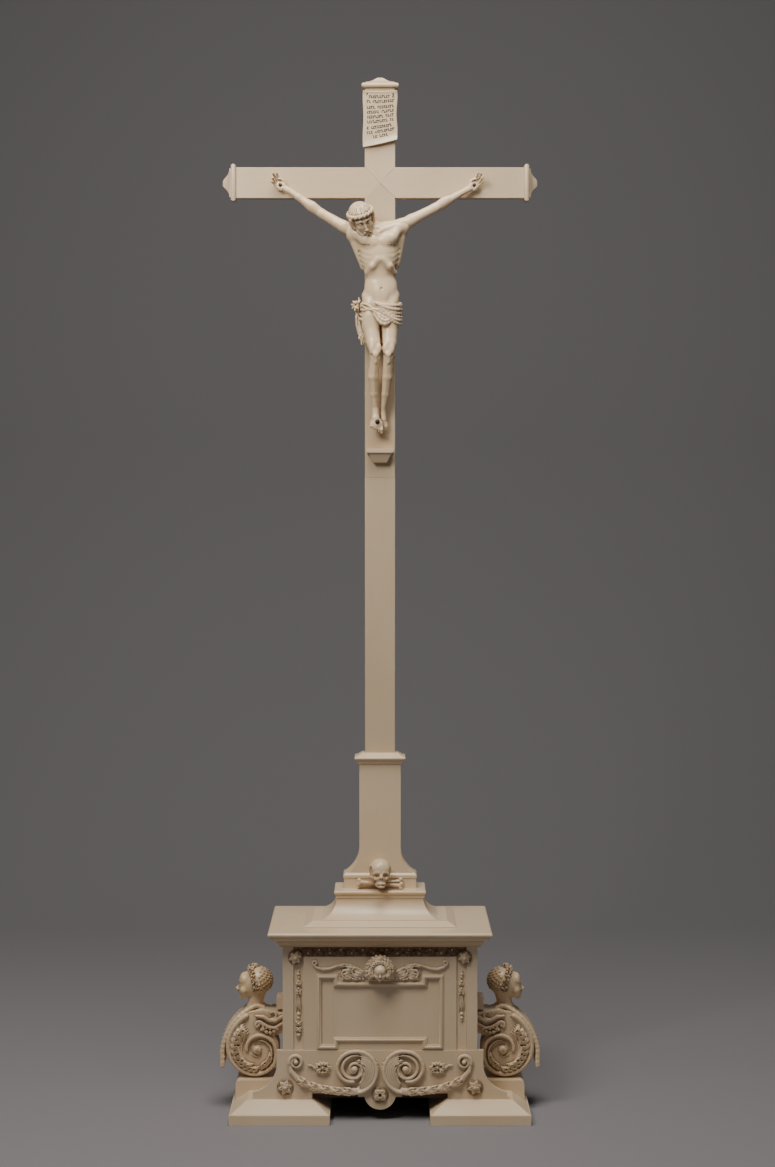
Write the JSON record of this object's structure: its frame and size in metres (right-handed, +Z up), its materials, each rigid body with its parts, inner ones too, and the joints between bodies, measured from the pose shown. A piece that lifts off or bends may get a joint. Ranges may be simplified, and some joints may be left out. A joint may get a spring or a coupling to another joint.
{
  "type": "altar cross",
  "caption": "Tall standing crucifix of polished ivory plates on a wooden core, on a casket-shaped base with side consoles and two splayed feet; the cross lifts out of its socket.",
  "frame": {"origin": "middle of the base's footprint on the altar top", "axes": "+Z up, -Y towards the viewer of the front, +X to the viewer's right"},
  "size_m": [0.3192, 0.148, 1.0276],
  "materials": {
    "ivory": "polished carved ivory, warm cream, amber-brown in the hollows",
    "core_wood": "plain seasoned walnut, unpolished inside",
    "nail_iron": "dark brown patinated iron"
  },
  "bodies": {
    "base": {"apron_flowers": "ivory", "apron_plate": "ivory", "apron_scrolls": "ivory", "back_plate": "ivory", "back_sill": "core_wood", "bed_moulding": "ivory", "bust_left": "ivory", "bust_right": "ivory", "carcass_boards": "core_wood", "cherub_head": "ivory", "console_ledges": "ivory", "console_left": "ivory", "console_right": "ivory", "corner_strips": "ivory", "cornice_slab": "ivory", "crest_scrolls": "ivory", "crossbones": "ivory", "eared_frame": "ivory", "foot_slab_left": "ivory", "foot_slab_right": "ivory", "foot_splay_left": "ivory", "foot_splay_right": "ivory", "framed_field": "ivory", "frieze_band": "ivory", "lower_rosettes": "ivory", "middle_plate": "ivory", "neck_cap": "ivory", "neck_faces": "ivory", "neck_sides": "ivory", "pedestal_bead": "ivory", "pedestal_block": "ivory", "pedestal_moulding": "ivory", "pedestal_shelf": "ivory", "pedestal_sweep": "ivory", "pilaster_drops": "ivory", "pilaster_panels": "ivory", "side_plates": "ivory", "side_plinths": "ivory", "skull": "ivory", "socket_core": "core_wood", "stole_left": "ivory", "stole_right": "ivory", "upper_rosettes": "ivory"},
    "cross": {"arm_caps": "ivory", "arm_faces": "ivory", "back_faces": "ivory", "corpus_arm_left": "ivory", "corpus_arm_right": "ivory", "corpus_body": "ivory", "crossbar_core": "core_wood", "edge_strips": "ivory", "foot_bracket": "ivory", "head_face": "ivory", "nails": "nail_iron", "shaft_face_lower": "ivory", "shaft_face_upper": "ivory", "title_pins": "nail_iron", "title_scroll": "ivory", "top_cap": "ivory", "upright_core": "core_wood"}
  },
  "joints": [
    {"name": "cross_lift", "type": "slide", "parent": "base", "child": "cross", "axis": [0, 0, 1], "range_m": [0, 0.06]}
  ]
}
